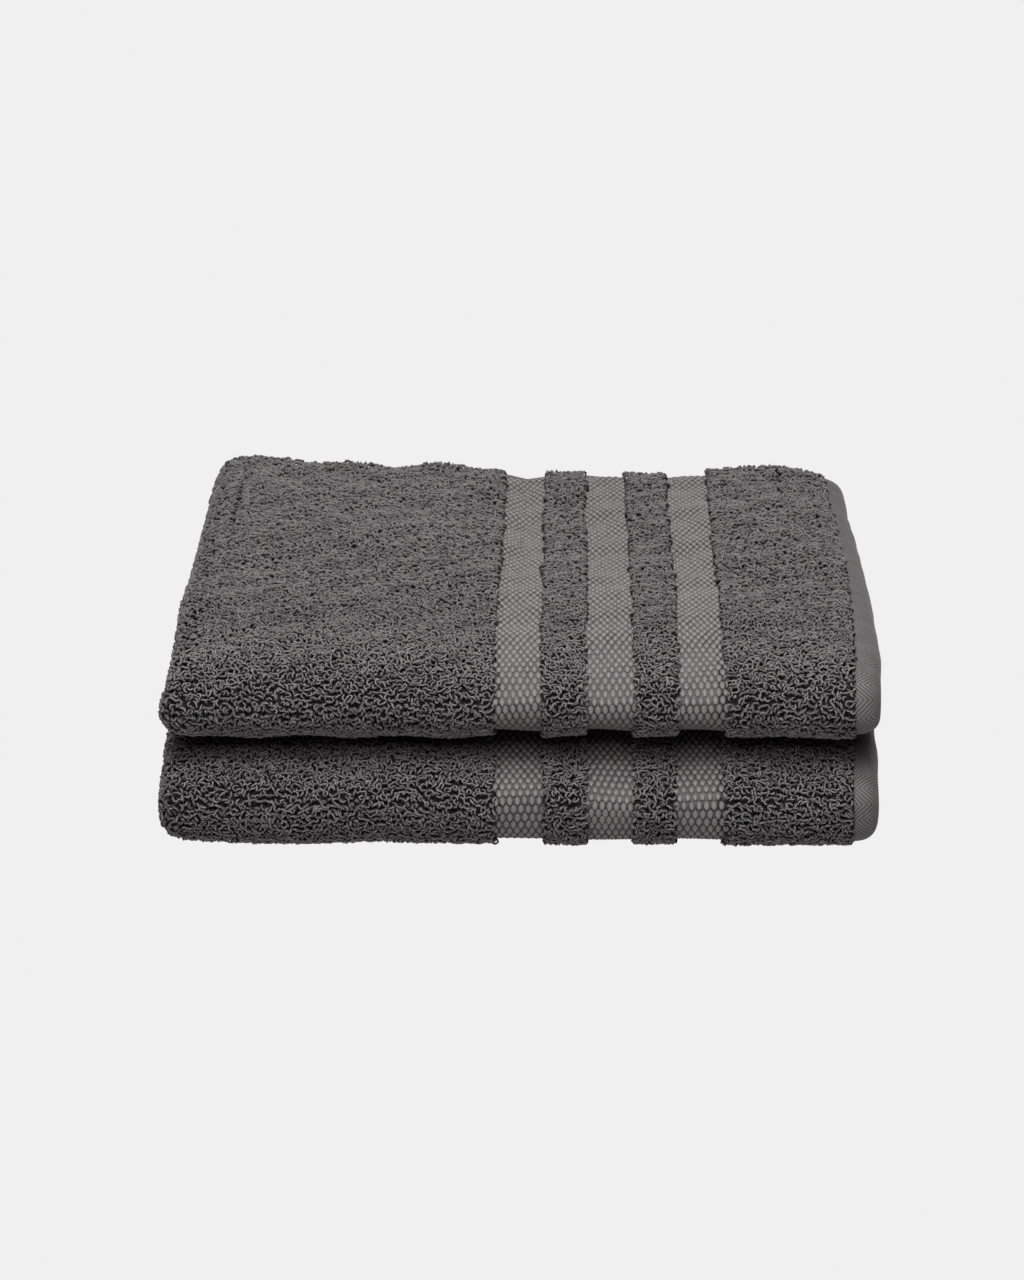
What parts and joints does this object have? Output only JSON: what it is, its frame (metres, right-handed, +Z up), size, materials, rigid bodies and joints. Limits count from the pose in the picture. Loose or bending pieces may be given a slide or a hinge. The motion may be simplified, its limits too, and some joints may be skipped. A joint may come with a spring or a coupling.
{
  "type": "bath towel set",
  "caption": "Stack of folded terry bath towels with flat dobby bands, raised terry stripes and woven end hems; the upper towel lifts off.",
  "frame": {"origin": "middle of the stack's underside", "axes": "+Z up; +X towards the hemmed ends; -Y towards the folded front"},
  "size_m": [0.35, 0.345, 0.1044],
  "materials": {
    "terry_pile": "looped cotton pile, matt, warm dark grey",
    "dobby_weave": "flat dobby weave with a scale figure, soft satin sheen",
    "hem_weave": "flat herringbone weave, matt",
    "hem_thread": "spun polyester lockstitch thread"
  },
  "bodies": {
    "lower_towel": {"lower_outer_end_terry_field": "terry_pile", "lower_outer_end_dobby_band_1": "dobby_weave", "lower_outer_end_terry_stripe_1": "terry_pile", "lower_outer_end_dobby_band_2": "dobby_weave", "lower_outer_end_terry_stripe_2": "terry_pile", "lower_outer_end_dobby_band_3": "dobby_weave", "lower_outer_end_terry_border": "terry_pile", "lower_outer_end_hem": "hem_weave", "lower_outer_end_hem_stitching": "hem_thread", "lower_inner_end_terry_field": "terry_pile", "lower_inner_end_dobby_band_1": "dobby_weave", "lower_inner_end_terry_stripe_1": "terry_pile", "lower_inner_end_dobby_band_2": "dobby_weave", "lower_inner_end_terry_stripe_2": "terry_pile", "lower_inner_end_dobby_band_3": "dobby_weave", "lower_inner_end_terry_border": "terry_pile", "lower_inner_end_hem": "hem_weave", "lower_inner_end_hem_stitching": "hem_thread", "lower_middle_layers": "terry_pile", "lower_top_side_hem": "hem_weave", "lower_top_side_hem_stitching": "hem_thread", "lower_bottom_side_hem": "hem_weave", "lower_bottom_side_hem_stitching": "hem_thread"},
    "upper_towel": {"upper_outer_end_terry_field": "terry_pile", "upper_outer_end_dobby_band_1": "dobby_weave", "upper_outer_end_terry_stripe_1": "terry_pile", "upper_outer_end_dobby_band_2": "dobby_weave", "upper_outer_end_terry_stripe_2": "terry_pile", "upper_outer_end_dobby_band_3": "dobby_weave", "upper_outer_end_terry_border": "terry_pile", "upper_outer_end_hem": "hem_weave", "upper_outer_end_hem_stitching": "hem_thread", "upper_inner_end_terry_field": "terry_pile", "upper_inner_end_dobby_band_1": "dobby_weave", "upper_inner_end_terry_stripe_1": "terry_pile", "upper_inner_end_dobby_band_2": "dobby_weave", "upper_inner_end_terry_stripe_2": "terry_pile", "upper_inner_end_dobby_band_3": "dobby_weave", "upper_inner_end_terry_border": "terry_pile", "upper_inner_end_hem": "hem_weave", "upper_inner_end_hem_stitching": "hem_thread", "upper_middle_layers": "terry_pile", "upper_top_side_hem": "hem_weave", "upper_top_side_hem_stitching": "hem_thread", "upper_bottom_side_hem": "hem_weave", "upper_bottom_side_hem_stitching": "hem_thread"}
  },
  "joints": [
    {"name": "upper_towel_lift", "type": "slide", "parent": "lower_towel", "child": "upper_towel", "axis": [0, 0, 1], "range_m": [0, 0.15]}
  ]
}
